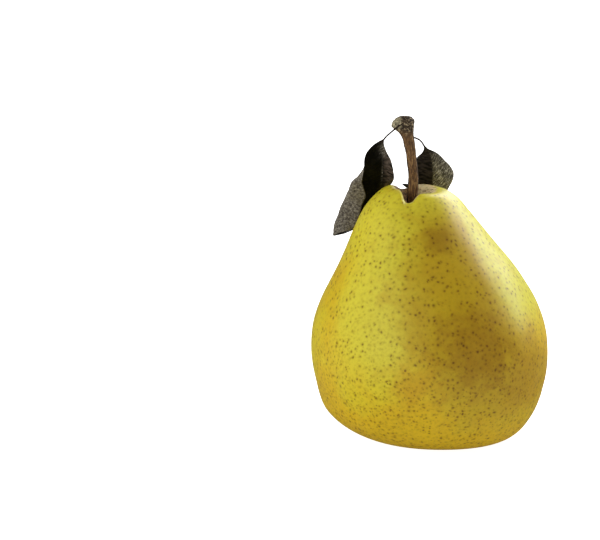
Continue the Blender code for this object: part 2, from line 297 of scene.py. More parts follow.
# Settings that many nodes share. A Math node's inputs are its values in order, a MapRange's are the value,
# the range it comes from (1 and 2) and the range it goes to (3 and 4), and a Mix's are the share of the
# second colour (0) and the two colours (6 and 7).
SOFT = {"interpolation_type": "SMOOTHSTEP"}
BLEND = {"data_type": "RGBA"}
TINT = {"data_type": "RGBA", "blend_type": "MULTIPLY"}
TIMES = {"operation": "MULTIPLY"}
TIMES_PLUS = {"operation": "MULTIPLY_ADD"}
DOT = {"operation": "DOT_PRODUCT"}
DISTANCE = {"operation": "DISTANCE"}
TO_MM = {"operation": "SCALE"}


def new_material(name):
    """A material with no nodes yet, and the tree to build it in."""
    material = bpy.data.materials.new(name)
    material.use_nodes = True
    material.node_tree.nodes.clear()
    return material, material.node_tree


# Pear skin: a waxy cuticle over yellow-green cells. Wax gives a broad soft sheen, the cells a colour that
# drifts from lime to gold, with an ochre blush right of the front that is partly painted shade, and every
# breathing pore is an olive dot.
pear_skin, tree = new_material("waxy pear skin")
place = add_node(tree, "TexCoord").outputs["Object"]
in_mm = add_node(tree, "VectorMath", TO_MM, {0: place, "Scale": 1000.0}).outputs[0]
across_mm, _, up_mm = add_node(tree, "SeparateXYZ", None, {0: in_mm}).outputs
level = add_node(tree, "VectorMath", TIMES, {0: in_mm, 1: (1.0, 1.0, 0.0)})
facing = add_node(tree, "VectorMath", {"operation": "NORMALIZE"}, {0: level})
broad = add_node(tree, "TexNoise", None, {"Vector": in_mm, "Scale": 1 / 26.0, "Detail": 3.0})
patchy = add_node(
    tree, "TexNoise", None,
    {"Vector": in_mm, "Scale": 1 / 7.0, "Detail": 4.0, "Roughness": 0.6},
)
fine = add_node(tree, "TexNoise", None, {"Vector": in_mm, "Scale": 0.9, "Detail": 3.0, "Roughness": 0.6})


def toward(degrees):
    """The level direction at an angle to the right of the front."""
    return (math.sin(math.radians(degrees)), -math.cos(math.radians(degrees)), 0.0)


# The ground drifts from gold, most of all near the base, to lime.
golden_foot = add_node(tree, "MapRange", SOFT, {0: up_mm, 1: 2.0, 2: 34.0, 3: -0.35, 4: 0.0})
lime_level = add_node(tree, "Math", TIMES_PLUS, {0: broad, 1: 1.3, 2: golden_foot})
lime_share = add_node(tree, "MapRange", SOFT, {0: lime_level, 1: 0.46, 2: 0.72})
ground = add_node(tree, "Mix", BLEND, {0: lime_share, 6: colour("#E0BC14"), 7: colour("#DFCB22")})
# The shaded side, a little left of the front, and the shoulders kept more of their green.
shaded = add_node(tree, "VectorMath", DOT, {0: facing, 1: toward(-30.0)}).outputs["Value"]
shaded = add_node(tree, "Math", TIMES_PLUS, {0: broad, 1: 0.3, 2: shaded})
shaded_side = add_node(tree, "MapRange", SOFT, {0: shaded, 1: 0.9, 2: 1.14})
above_foot = add_node(tree, "MapRange", SOFT, {0: up_mm, 1: 18.0, 2: 38.0, 4: 0.95})
shoulders = add_node(tree, "MapRange", SOFT, {0: up_mm, 1: 50.0, 2: 72.0, 4: 0.9})
shaded_share = add_node(tree, "Math", TIMES, {0: shaded_side, 1: above_foot})
shaded_share = add_node(tree, "Math", {"operation": "MAXIMUM"}, {0: shaded_share, 1: shoulders})
ground = add_node(tree, "Mix", BLEND, {0: shaded_share, 6: ground, 7: colour("#E2D534")})
# An ochre blush lies right of the front between the shoulder and the base, and leans to the right lower down.
# It is partly the skin's own colour and partly painted shade, on the side that faces away from both lamps.
blush_facing = add_node(tree, "VectorMath", DOT, {0: facing, 1: toward(24.0)}).outputs["Value"]
aside = add_node(tree, "VectorMath", DOT, {0: facing, 1: toward(114.0)}).outputs["Value"]
lean = add_node(tree, "MapRange", SOFT, {0: up_mm, 1: 46.0, 2: 10.0, 3: -0.1, 4: 0.62})
blush_facing = add_node(tree, "Math", TIMES_PLUS, {0: aside, 1: lean, 2: blush_facing})
blush_facing = add_node(tree, "Math", TIMES_PLUS, {0: patchy, 1: 0.4, 2: blush_facing})
blush_and_shade = add_node(tree, "MapRange", SOFT, {0: blush_facing, 1: 0.82, 2: 1.14})
over_base = add_node(tree, "MapRange", SOFT, {0: up_mm, 1: 4.0, 2: 24.0})
under_top = add_node(tree, "MapRange", SOFT, {0: up_mm, 1: 80.0, 2: 70.0})
between = add_node(tree, "Math", TIMES, {0: over_base, 1: under_top})
blush_and_shade = add_node(tree, "Math", TIMES, {0: blush_and_shade, 1: between})
# The shoulder on the right stayed green above the blush.
rightward = add_node(tree, "VectorMath", DOT, {0: facing, 1: toward(100.0)}).outputs["Value"]
right_side = add_node(tree, "MapRange", SOFT, {0: rightward, 1: 0.3, 2: 0.66})
upper_half = add_node(tree, "MapRange", SOFT, {0: up_mm, 1: 34.0, 2: 50.0})
green_side = add_node(tree, "Math", TIMES, {0: right_side, 1: upper_half})
unblushed = add_node(tree, "MapRange", SOFT, {0: green_side, 1: 0.0, 2: 1.0, 3: 1.0, 4: 0.1})
blush_and_shade = add_node(tree, "Math", TIMES, {0: blush_and_shade, 1: unblushed})
ground = add_node(tree, "Mix", BLEND, {0: green_side, 6: ground, 7: colour("#E0DA3C")})
blush_and_shade_share = add_node(tree, "Math", TIMES, {0: blush_and_shade, 1: 0.85})
ground = add_node(tree, "Mix", BLEND, {0: blush_and_shade_share, 6: ground, 7: colour("#C49E12")})
# The blush and its painted shade are deepest in cloudy patches, and orange in one. Each is (degrees to the
# right of the front, out, up, reach, strength, colour).
BLUSH_AND_SHADE_PATCHES = [
    (20.0, 36.0, 38.0, 13.0, 0.80, "#A87C0C"),
    (4.0, 18.5, 68.5, 5.0, 0.85, "#A8800E"),
    (-10.0, 37.5, 28.0, 7.5, 0.60, "#CC980A"),
    (46.0, 37.5, 26.0, 11.0, 0.35, "#A8790C"),
]
cloudy = add_node(tree, "TexNoise", None, {"Vector": in_mm, "Scale": 0.25, "Detail": 4.0, "Roughness": 0.65})
for degrees, out, up, reach, strength, shade in BLUSH_AND_SHADE_PATCHES:
    middle = tuple(np.array(toward(degrees)) * out + np.array([0.0, 0.0, up]) + SHIFT)
    away = add_node(tree, "VectorMath", DISTANCE, {0: in_mm, 1: middle}).outputs["Value"]
    away = add_node(tree, "Math", TIMES_PLUS, {0: cloudy, 1: -1.8 * reach, 2: away})
    patch = add_node(tree, "MapRange", SOFT, {0: away, 1: 0.55 * reach, 2: -0.65 * reach, 4: strength})
    ground = add_node(tree, "Mix", BLEND, {0: patch, 6: ground, 7: colour(shade)})
# Faint mottling, broad and fine.
mottled = add_node(tree, "MapRange", SOFT, {0: patchy, 1: 0.5, 2: 0.8, 4: 0.4})
ground = add_node(tree, "Mix", BLEND, {0: mottled, 6: ground, 7: colour("#C9A018")})
speckled = add_node(tree, "MapRange", SOFT, {0: fine, 1: 0.42, 2: 0.75, 4: 0.25})
ground = add_node(tree, "Mix", BLEND, {0: speckled, 6: ground, 7: colour("#A88F18")})

# Pores sit about 2 mm apart, and finer and closer low on the belly. Each is a small ball of colour cut by the
# skin. The drift of the points keeps them off any grid.
drift = add_node(tree, "TexNoise", None, {"Vector": in_mm, "Scale": 0.35, "Detail": 1.0}).outputs["Color"]
drifted = add_node(tree, "VectorMath", TIMES_PLUS, {0: drift, 1: (1.2, 1.2, 1.2), 2: in_mm})
low_down = add_node(tree, "MapRange", SOFT, {0: up_mm, 1: 56.0, 2: 16.0})
# Each layer is (spacing, dot radius and halo radius in mm, where it shows, strength).
PORE_LAYERS = [(1.45, 0.56, 1.00, None, 1.0), (1.00, 0.36, 0.62, low_down, 0.9)]
for spacing, dot, halo, where, strength in PORE_LAYERS:
    cells = add_node(tree, "TexVoronoi", None, {"Vector": drifted, "Scale": 1 / spacing})
    near = cells.outputs["Distance"]
    chance = add_node(tree, "SeparateXYZ", None, {0: cells.outputs["Color"]})
    depth = add_node(tree, "MapRange", SOFT, {0: chance, 1: 0.1, 2: 1.0, 3: 0.28 * strength, 4: strength})
    if where is not None:
        depth = add_node(tree, "Math", TIMES, {0: depth, 1: where})
    in_halo = add_node(tree, "MapRange", SOFT, {0: near, 1: halo / spacing, 2: 0.2 * halo / spacing, 4: 0.6})
    halo_share = add_node(tree, "Math", TIMES, {0: in_halo, 1: depth})
    ground = add_node(tree, "Mix", TINT, {0: halo_share, 6: ground, 7: colour("#DDD096")})
    in_dot = add_node(tree, "MapRange", SOFT, {0: near, 1: dot / spacing, 2: 0.1 * dot / spacing})
    dot_share = add_node(tree, "Math", TIMES, {0: in_dot, 1: depth})
    ground = add_node(tree, "Mix", TINT, {0: dot_share, 6: ground, 7: colour("#A89838")})

# Russet: corky brown skin that lines the stem's hollow and its notch, and runs out in ragged streaks. It is
# darkest at the bottom of the hollow and of the notch.
cork = add_node(tree, "Attribute", {"attribute_name": "corky"}).outputs["Vector"]
corky_share = add_node(tree, "SeparateXYZ", None, {0: cork})
streaks = add_node(tree, "TexNoise", None, {"Vector": in_mm, "Scale": 0.9, "Detail": 5.0, "Roughness": 0.7})
ragged = add_node(tree, "Math", TIMES_PLUS, {0: streaks, 1: 0.9, 2: corky_share})
russet = add_node(tree, "MapRange", SOFT, {0: ragged, 1: 0.72, 2: 1.1})
pale_streaks = add_node(tree, "MapRange", SOFT, {0: streaks, 1: 0.32, 2: 0.54})
russet_shade = add_node(tree, "Mix", BLEND, {0: pale_streaks, 6: colour("#7E5C36"), 7: colour("#EBD49C")})
deep_streaks = add_node(tree, "MapRange", SOFT, {0: streaks, 1: 0.36, 2: 0.6})
deep_shade = add_node(tree, "Mix", BLEND, {0: deep_streaks, 6: colour("#3A2614"), 7: colour("#94713F")})
deep_down = add_node(tree, "Math", TIMES_PLUS, {0: across_mm, 1: 0.55, 2: up_mm})
deep_share = add_node(tree, "MapRange", SOFT, {0: deep_down, 1: 76.8, 2: 74.2})
russet_shade = add_node(tree, "Mix", BLEND, {0: deep_share, 6: russet_shade, 7: deep_shade})
ground = add_node(tree, "Mix", BLEND, {0: russet, 6: ground, 7: russet_shade})

# A few dark scuffs, where the fruit rubbed on a branch, low on the right.
scuff_place = tuple(np.array([31.5, -15.0, 13.0]) + SHIFT)
from_scuff = add_node(tree, "VectorMath", DISTANCE, {0: in_mm, 1: scuff_place}).outputs["Value"]
near_scuff = add_node(tree, "MapRange", SOFT, {0: from_scuff, 1: 11.0, 2: 2.0, 4: 0.22})
scrape = add_node(tree, "TexNoise", None, {"Vector": in_mm, "Scale": 1.1, "Detail": 3.0, "Roughness": 0.8})
scuffs = add_node(tree, "Math", {"operation": "ADD"}, {0: scrape, 1: near_scuff})
scuffs = add_node(tree, "MapRange", SOFT, {0: scuffs, 1: 0.78, 2: 0.86, 4: 0.7})
ground = add_node(tree, "Mix", BLEND, {0: scuffs, 6: ground, 7: colour("#4E3A14")})

# The wax is smooth over a skin that is finely pebbled, and dull where it is corky.
pebbles = add_node(tree, "TexNoise", None, {"Vector": in_mm, "Scale": 1.2, "Detail": 4.0, "Roughness": 0.55})
wax = add_node(tree, "Bump", None, {"Strength": 0.35, "Distance": 0.00012, "Height": pebbles})
shine = add_node(tree, "MapRange", SOFT, {0: patchy, 1: 0.2, 2: 0.8, 3: 0.36, 4: 0.46})
dullness = add_node(tree, "Math", TIMES_PLUS, {0: russet, 1: 0.4, 2: shine})
skin = add_node(
    tree, "BsdfPrincipled", None,
    {
        "Base Color": ground,
        "Roughness": dullness,
        "IOR": 1.45,
        "Specular IOR Level": 0.45,
        "Normal": wax,
        "Subsurface Weight": 0.1,
        "Subsurface Radius": (1.0, 0.55, 0.12),
        "Subsurface Scale": 0.002,
    },
)
add_node(tree, "OutputMaterial", None, {"Surface": skin})
fruit.data.materials.append(pear_skin)
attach(fruit, "root")
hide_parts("fruit")

# ---------------------------------------------------------------------------------------------------------
# Stem. A woody stalk with fine bark, grown out of the hollow. Its top swells into the crumbly knob where it
# broke from the twig, and the break shows as a pale scar on the left.
STEM_LINE = [
    (-6.3, -1.2, 75.95),
    (-6.1, -1.2, 78.2),
    (-5.9, -1.2, 84.3),
    (-6.5, -1.2, 89.7),
    (-7.0, -1.2, 93.5),
    (-7.6, -1.2, 96.4),
    (-8.1, -1.2, 98.4),
    (-8.8, -1.2, 101.0),
    (-8.9, -1.2, 103.3),
]
# Half width across and front to back, at shares of the way up the stem.
STEM_GIRTH = [
    (0.00, 1.35, 1.35),
    (0.10, 1.68, 1.65),
    (0.30, 1.62, 1.60),
    (0.50, 1.62, 1.55),
    (0.68, 1.80, 1.70),
    (0.80, 2.10, 1.95),
    (0.88, 2.90, 2.50),
    (0.94, 3.10, 2.60),
    (0.98, 2.50, 2.20),
    (1.00, 1.50, 1.30),
]
STEM_SIDES = 144
STEM_RINGS = 300
# A lip stands out on the left of the knob.
LIP_REACH = 0.35
LIP_SHARE = 0.92
LIP_SPREAD = 0.05
KNOB_START = 0.82
KNOB_FADE = 0.10
# Bark: long shallow ridges that wander and small warts, and on the knob crumbs, as (spacing, depth).
GRAIN_STRETCH = 0.22
RIDGE_SPACING = 0.62
RIDGE_DEPTH = 0.14
WART_SPACING = 1.1
WART_DEPTH = 0.10
CRUMBS = [(0.95, 0.34), (0.42, 0.22)]
# The scar is a nearly flat break across the lip.
SCAR_MIDDLE = np.array([-11.6, -2.6, 101.6])
SCAR_OUT = np.array([-0.72, -0.42, 0.55])
SCAR_OUT /= np.linalg.norm(SCAR_OUT)
SCAR_FLATNESS = 0.7


def read_table(table, shares):
    """Columns of a table of (share, value, value...), read smoothly at many shares."""
    table = np.asarray(table, float)
    return smooth(table[:, 0], table[:, 1:], shares)


def frames_along(line, shares, across):
    """Points on a line, with the direction to the side and the direction the face looks at each."""
    points = soften(along(line, shares), 4)
    ahead = np.gradient(points, axis=0)
    ahead /= np.linalg.norm(ahead, axis=1)[:, None]
    side = np.asarray(across, float)[None, :] - ahead * (ahead @ np.asarray(across, float))[:, None]
    side /= np.linalg.norm(side, axis=1)[:, None]
    return points, side, np.cross(ahead, side)


stem_shares = np.linspace(0.0, 1.0, STEM_RINGS)
points, side, face = frames_along(STEM_LINE, stem_shares, (1.0, 0.0, 0.0))
half_width, half_depth = soften(read_table(STEM_GIRTH, stem_shares), 4).T
turn = np.linspace(0.0, math.tau, STEM_SIDES, endpoint=False)[None, :]
share = stem_shares[:, None]
lip = 1.0 + LIP_REACH * bump(share - LIP_SHARE, LIP_SPREAD) * np.maximum(0.0, -np.cos(turn))
stem_out = (
    side[:, None, :] * (half_width[:, None] * lip * np.cos(turn))[:, :, None]
    + face[:, None, :] * (half_depth[:, None] * np.sin(turn))[:, :, None]
)
stem_rings = points[:, None, :] + stem_out
stem_unit = stem_out / np.linalg.norm(stem_out, axis=2)[:, :, None]
stretched = stem_rings * np.array([1.0, 1.0, GRAIN_STRETCH])
ridges = RIDGE_DEPTH * rough_field(stretched, RIDGE_SPACING, 5)
ridges += WART_DEPTH * rough_field(stem_rings, WART_SPACING, 6)
crumbs = sum(depth * rough_field(stem_rings, spacing, i) for i, (spacing, depth) in enumerate(CRUMBS, 7))
knob = np.clip((share - KNOB_START) / KNOB_FADE, 0.0, 1.0)
relief = ridges * (1.0 - 0.4 * knob) + crumbs * knob
stem_rings += stem_unit * (relief - 0.04)[:, :, None] * np.clip(share / 0.03, 0.0, 1.0)[:, :, None]
above = (stem_rings - SCAR_MIDDLE) @ SCAR_OUT
stem_rings -= SCAR_OUT * (np.maximum(above, 0.0) * SCAR_FLATNESS)[:, :, None]
# Painted light and shade: the bark is painted paler down its front, where the lamps fall, than along its
# sides.
front_share = np.clip(-np.sin(turn), 0.0, 1.0) * np.ones_like(share)
stem = ring_mesh("pear_stem", stem_rings + SHIFT, {"weathered": np.stack([front_share] * 3, axis=2)})

# Bark of a young fruiting twig: thin brown cork with long fibres, pale flecks and dark cracks, rough and
# dull. Its sides are darkened with painted shade, and on the knob it is crumbled into near black and cream.
stem_bark, tree = new_material("young pear bark")
place = add_node(tree, "TexCoord").outputs["Object"]
in_mm = add_node(tree, "VectorMath", TO_MM, {0: place, "Scale": 1000.0}).outputs[0]
long_grain = add_node(tree, "VectorMath", TIMES, {0: in_mm, 1: (1.0, 1.0, 0.2)})
fibres = add_node(
    tree, "TexNoise", None,
    {"Vector": long_grain, "Scale": 2.4, "Detail": 6.0, "Roughness": 0.7},
)
flecks = add_node(tree, "TexNoise", None, {"Vector": in_mm, "Scale": 1.5, "Detail": 4.0, "Roughness": 0.75})
bark = add_node(
    tree, "ValToRGB", {"stops": [(0.34, "#33210F"), (0.50, "#6C4C2B"), (0.66, "#A4804C")]}, {0: fibres}
)
painted_light_attribute = add_node(tree, "Attribute", {"attribute_name": "weathered"}).outputs["Vector"]
weathered = add_node(tree, "SeparateXYZ", None, {0: painted_light_attribute})
# Painted shade: the sides of the stalk are darkened by a multiply, and its front is kept paler as painted
# light.
painted_side_shade = add_node(tree, "Math", TIMES_PLUS, {0: fibres, 1: 0.5, 2: weathered})
painted_side_shade = add_node(tree, "MapRange", SOFT, {0: painted_side_shade, 1: 1.02, 2: 0.42})
bark_shade = add_node(tree, "Mix", TINT, {0: painted_side_shade, 6: bark, 7: colour("#6E6052")})
height_mm = add_node(tree, "SeparateXYZ", None, {0: in_mm}).outputs["Z"]
knob_share = add_node(tree, "MapRange", SOFT, {0: height_mm, 1: 96.5, 2: 100.0})
knob_shade = add_node(
    tree, "ValToRGB", {"stops": [(0.38, "#1C130B"), (0.54, "#4E3B25"), (0.66, "#D2BF98")]}, {0: flecks}
)
bark_shade = add_node(tree, "Mix", BLEND, {0: knob_share, 6: bark_shade, 7: knob_shade})
pale = add_node(tree, "MapRange", None, {0: flecks, 1: 0.62, 2: 0.70, 4: 0.65})
bark_shade = add_node(tree, "Mix", BLEND, {0: pale, 6: bark_shade, 7: colour("#A38A62")})
# The bare wood of the scar, ragged at its edge.
scar_place = tuple(SCAR_MIDDLE + SHIFT)
from_scar = add_node(tree, "VectorMath", DISTANCE, {0: in_mm, 1: scar_place}).outputs["Value"]
from_scar = add_node(tree, "Math", TIMES_PLUS, {0: flecks, 1: 2.2, 2: from_scar})
scar = add_node(tree, "MapRange", SOFT, {0: from_scar, 1: 3.7, 2: 2.5, 4: 0.85})
wood = add_node(tree, "TexNoise", None, {"Vector": in_mm, "Scale": 1.9, "Detail": 4.0, "Roughness": 0.7})
wood_grain = add_node(tree, "MapRange", SOFT, {0: wood, 1: 0.34, 2: 0.66})
scar_shade = add_node(tree, "Mix", BLEND, {0: wood_grain, 6: colour("#2E2818"), 7: colour("#D6CAA2")})
bark_shade = add_node(tree, "Mix", BLEND, {0: scar, 6: bark_shade, 7: scar_shade})
grain = add_node(tree, "Math", TIMES_PLUS, {0: flecks, 1: 0.6, 2: fibres})
bark_relief = add_node(tree, "Bump", None, {"Strength": 0.7, "Distance": 0.00025, "Height": grain})
cork = add_node(
    tree, "BsdfPrincipled", None,
    {"Base Color": bark_shade, "Roughness": 0.78, "IOR": 1.45, "Normal": bark_relief},
)
add_node(tree, "OutputMaterial", None, {"Surface": cork})
stem.data.materials.append(stem_bark)
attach(stem, "root")
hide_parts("stem")

# ---------------------------------------------------------------------------------------------------------
# Leaves. Two leaves of the same bud, dried stiff where they hang: a thread-thin stalk, a midrib and a blade
# that is dark and smooth on its face and felted grey beneath. The left one's margin has folded right over.
BLADE_THICKNESS = 0.28
STALK_THICKNESS = 0.54
STALK_HALF = 0.27
LEAF_RINGS = 260
HALF_COLUMNS = 30
BEND_STEPS = 4
BLADE_START = 0.08
# Side veins leave the midrib on a slant. They and the midrib stand out at the back, and less at the face.
VEIN_SPACING = 2.3
VEIN_SLANT = 0.62
VEIN_HALF_SHARE = 0.14
VEIN_HEIGHT = 0.10
MIDRIB_HALF = 0.45
MIDRIB_HEIGHT = 0.22
# The dried tissue between the veins puckers, as (spacing, depth).
PUCKERS = [(4.5, 0.14), (1.4, 0.07)]
# The right half of a blade bends half way out, over this share of its width either way.
RIGHT_CREASE = 0.5
RIGHT_SPREAD = 0.4
# The line of each leaf runs down its stalk and midrib. Widths are (share, left half, right half). Curls are
# (share, left fold, left curl, left crease, right fold, right curl) in degrees, with the face towards the
# front.
LEFT_LEAF = {
    "line": [
        (-9.1, -3.5, 101.9),
        (-12.4, -3.0, 99.2),
        (-15.7, 0.8, 94.6),
        (-15.5, 4.0, 87.6),
        (-15.5, 8.5, 80.8),
        (-16.8, 11.2, 74.7),
        (-20.2, 11.9, 69.3),
        (-25.2, 9.4, 65.4),
        (-30.5, 6.0, 63.7),
    ],
    "across": (1.0, 0.15, 0.0),
    "stalk": 0.19,
    "spread": 0.09,
    "width": [
        (0.00, STALK_HALF, STALK_HALF),
        (0.18, STALK_HALF, STALK_HALF),
        (0.22, 2.4, 0.8),
        (0.26, 4.9, 1.6),
        (0.35, 7.2, 4.0),
        (0.42, 10.0, 4.5),
        (0.49, 13.4, 3.8),
        (0.61, 16.6, 3.2),
        (0.70, 16.3, 2.7),
        (0.78, 15.8, 2.2),
        (0.88, 14.6, 1.2),
        (0.95, 10.6, 1.0),
        (1.00, 0.4, 0.3),
    ],
    "curl": [
        (0.00, 0.0, 0.0, 0.80, 0.0, 0.0),
        (0.18, 0.0, 0.0, 0.80, 0.0, 0.0),
        (0.30, 10.0, 30.0, 0.80, 25.0, 20.0),
        (0.40, 8.0, 110.0, 0.80, 30.0, 20.0),
        (0.49, 0.0, 165.0, 0.72, 16.0, 10.0),
        (0.61, 0.0, 172.0, 0.62, -40.0, -10.0),
        (0.70, 0.0, 172.0, 0.61, -45.0, -10.0),
        (0.78, 0.0, 172.0, 0.54, -42.0, -8.0),
        (0.88, 0.0, 172.0, 0.43, -20.0, 0.0),
        (0.95, 0.0, 168.0, 0.35, -8.0, 0.0),
        (1.00, 0.0, 160.0, 0.35, 0.0, 0.0),
    ],
}
RIGHT_LEAF = {
    "line": [
        (-6.2, -0.4, 96.7),
        (-3.6, 2.5, 94.9),
        (-2.1, 4.5, 92.5),
        (-0.1, 6.5, 89.3),
        (0.8, 9.0, 84.3),
        (1.1, 12.2, 79.0),
        (0.8, 16.6, 73.5),
        (0.2, 20.6, 68.5),
    ],
    "across": (1.0, 0.0, 0.0),
    "stalk": 0.17,
    "spread": 0.4,
    "width": [
        (0.00, STALK_HALF, STALK_HALF),
        (0.20, STALK_HALF, STALK_HALF),
        (0.24, 1.0, 0.5),
        (0.27, 2.2, 1.0),
        (0.31, 3.5, 1.8),
        (0.38, 5.4, 3.5),
        (0.46, 6.6, 5.3),
        (0.56, 7.5, 7.5),
        (0.64, 7.8, 8.6),
        (0.75, 8.0, 7.7),
        (0.782, 10.6, 6.9),
        (0.81, 7.6, 6.2),
        (0.85, 5.6, 4.8),
        (0.93, 3.0, 2.6),
        (1.00, 0.4, 0.4),
    ],
    "curl": [
        (0.00, 0.0, 0.0, 0.5, 0.0, 0.0),
        (0.17, 0.0, 0.0, 0.5, 0.0, 0.0),
        (0.30, -25.0, -10.0, 0.5, -20.0, -10.0),
        (0.46, -28.0, -5.0, 0.5, -25.0, -15.0),
        (0.63, -20.0, 0.0, 0.5, -25.0, -20.0),
        (0.82, -20.0, 0.0, 0.5, -20.0, -10.0),
        (1.00, 0.0, 0.0, 0.5, 0.0, 0.0),
    ],
}


def half_blade(half, fold, curl, crease, spread):
    """Distance out, rise and slope at each ring and column of half a blade, and its columns' shares of it."""
    reach = np.linspace(0.0, 1.0, HALF_COLUMNS * BEND_STEPS + 1)
    mid = 0.5 * (reach[1:] + reach[:-1])[None, :]
    turned = np.clip((mid - crease[:, None] + spread) / (2.0 * spread), 0.0, 1.0)
    slope = fold[:, None] + curl[:, None] * turned * turned * (3.0 - 2.0 * turned)
    step = half[:, None] / (HALF_COLUMNS * BEND_STEPS)
    start = np.zeros((len(half), 1))
    out = np.concatenate([start, np.cumsum(np.cos(slope) * step, axis=1)], axis=1)
    rise = np.concatenate([start, np.cumsum(np.sin(slope) * step, axis=1)], axis=1)
    slope = np.concatenate([slope[:, :1], slope], axis=1)
    return out[:, ::BEND_STEPS], rise[:, ::BEND_STEPS], slope[:, ::BEND_STEPS], reach[::BEND_STEPS]


def build_leaf(name, leaf, seed):
    """A leaf's mesh, with what its material reads.

    Its place attribute holds millimetres across and along the blade, and 1 on its face. Its tone attribute
    holds how pale (bleached, and on the right leaf partly painted light), how brown and how much like the
    stalk each point is.
    """
    shares = np.linspace(0.0, 1.0, LEAF_RINGS)
    points, side, face = frames_along(leaf["line"], shares, leaf["across"])
    length = np.sum(np.linalg.norm(np.diff(points, axis=0), axis=1))
    widths = np.maximum(soften(read_table(leaf["width"], shares), 3), STALK_HALF)
    curls = soften(read_table(leaf["curl"], shares), 5)
    fold_left, curl_left, crease, fold_right, curl_right = curls.T
    blade = np.clip((shares - leaf["stalk"]) / BLADE_START, 0.0, 1.0)
    fold_left, curl_left, fold_right, curl_right = np.radians([fold_left, curl_left, fold_right, curl_right])
    left = half_blade(widths[:, 0], fold_left, curl_left, crease, leaf["spread"])
    right = half_blade(widths[:, 1], fold_right, curl_right, np.full(LEAF_RINGS, RIGHT_CREASE), RIGHT_SPREAD)
    middles, normals, places = [], [], []
    for sign, (out, rise, slope, reach), half in ((-1.0, left, widths[:, 0]), (1.0, right, widths[:, 1])):
        outward = sign * side[:, None, :]
        upward = face[:, None, :]
        middle = points[:, None, :] + outward * out[:, :, None] + upward * rise[:, :, None]
        normal = upward * np.cos(slope)[:, :, None] - outward * np.sin(slope)[:, :, None]
        across_mm = sign * reach[None, :] * half[:, None]
        place = np.stack([across_mm, np.repeat((shares * length)[:, None], len(reach), axis=1)], axis=2)
        middles.append(middle)
        normals.append(normal)
        places.append(place)
    # The two halves meet in one column on the midrib.
    middles = np.concatenate([middles[0][:, :0:-1], middles[1]], axis=1)
    normals = np.concatenate([normals[0][:, :0:-1], normals[1]], axis=1)
    normals[:, HALF_COLUMNS] = face
    places = np.concatenate([places[0][:, :0:-1], places[1]], axis=1)
    reach = np.concatenate([left[3][:0:-1], right[3]])[None, :]
    across_mm = places[:, :, 0]
    along_mm = places[:, :, 1]
    slanted = (along_mm - VEIN_SLANT * np.abs(across_mm)) / VEIN_SPACING
    veins = bump(np.remainder(slanted, 1.0) - 0.5, VEIN_HALF_SHARE)
    pucker = sum(depth * rough_field(middles, gap, seed + i) for i, (gap, depth) in enumerate(PUCKERS, 10))
    pucker *= np.abs(reach) ** 0.7
    middles = middles + normals * (pucker * blade[:, None])[:, :, None]
    thickness = STALK_THICKNESS + (BLADE_THICKNESS - STALK_THICKNESS) * blade
    edge = np.sqrt(np.maximum(0.0, 1.0 - np.abs(reach) ** (2 + 14 * blade[:, None])))
    half_thick = 0.5 * thickness[:, None] * edge
    midrib = bump(across_mm, MIDRIB_HALF) * blade[:, None]
    raised = (VEIN_HEIGHT * veins * blade[:, None] + MIDRIB_HEIGHT * midrib) * edge
    front = middles + normals * (half_thick - 0.5 * raised)[:, :, None]
    back = middles - normals * (half_thick + raised)[:, :, None]
    rings = np.concatenate([front, back[:, -2:0:-1]], axis=1)
    behind = np.zeros((LEAF_RINGS, back.shape[1] - 2))
    on_face = np.concatenate([np.ones(front.shape[:2]), behind], axis=1)
    spot = np.concatenate([places, places[:, -2:0:-1]], axis=1)
    place_rows = np.concatenate([spot, on_face[:, :, None]], axis=2)
    across_mm = spot[:, :, 0]
    down = shares[:, None] + 0.0 * across_mm
    bleached = leaf["bleached"](across_mm, down) * on_face
    browned = leaf["browned"](across_mm, down) * on_face
    stalky = 1.0 - np.clip((down - leaf["stalk"] + 0.01) / 0.03, 0.0, 1.0)
    tone_rows = np.stack([bleached, browned, stalky], axis=2)
    return ring_mesh(name, rings + SHIFT, {"leaf_place": place_rows, "leaf_tone": tone_rows})


# The left leaf is brown to the right of its midrib, with a bleached patch at the base of the blade.
LEFT_LEAF["bleached"] = lambda across, down: (
    0.85 * bump(down - 0.25, 0.05) * bump(across - 0.9, 1.5)
    + bump(across - 0.15, 0.14) * bump(down - 0.43, 0.07)
)
LEFT_LEAF["browned"] = lambda across, down: np.clip(across / 2.0, 0.0, 1.0)
# The right leaf is pale to the right of its midrib, but not along its top margin. The pale is partly
# bleaching and partly painted light, where that half faces the lamp.
RIGHT_LEAF["bleached"] = lambda across, down: (
    np.clip((across + 0.2) / 0.5, 0.0, 1.0) * np.clip((down - 0.26 - 0.012 * across) / 0.10, 0.0, 1.0)
)
RIGHT_LEAF["browned"] = lambda across, down: 0.25 * np.clip(across + 6.0, 0.0, 1.0)
left_leaf = build_leaf("dried_left_leaf", LEFT_LEAF, 1)
right_leaf = build_leaf("dried_right_leaf", RIGHT_LEAF, 2)

# Dried pear leaf: the face has gone near black with a low gloss, brown where it dried later, and pale in fine
# streaks that are bleached and in part painted light. The underside is a speckled grey felt.
dry_leaf, tree = new_material("dried pear leaf")
spot = add_node(tree, "Attribute", {"attribute_name": "leaf_place"}).outputs["Vector"]
tones = add_node(tree, "Attribute", {"attribute_name": "leaf_tone"}).outputs["Vector"]
bleached, browned, stalky = add_node(tree, "SeparateXYZ", None, {0: tones}).outputs
across, down, on_face = add_node(tree, "SeparateXYZ", None, {0: spot}).outputs
place = add_node(tree, "TexCoord").outputs["Object"]
in_mm = add_node(tree, "VectorMath", TO_MM, {0: place, "Scale": 1000.0}).outputs[0]
mottle = add_node(tree, "TexNoise", None, {"Vector": in_mm, "Scale": 0.55, "Detail": 5.0, "Roughness": 0.65})
felt = add_node(tree, "TexNoise", None, {"Vector": in_mm, "Scale": 1.5, "Detail": 4.0, "Roughness": 0.75})

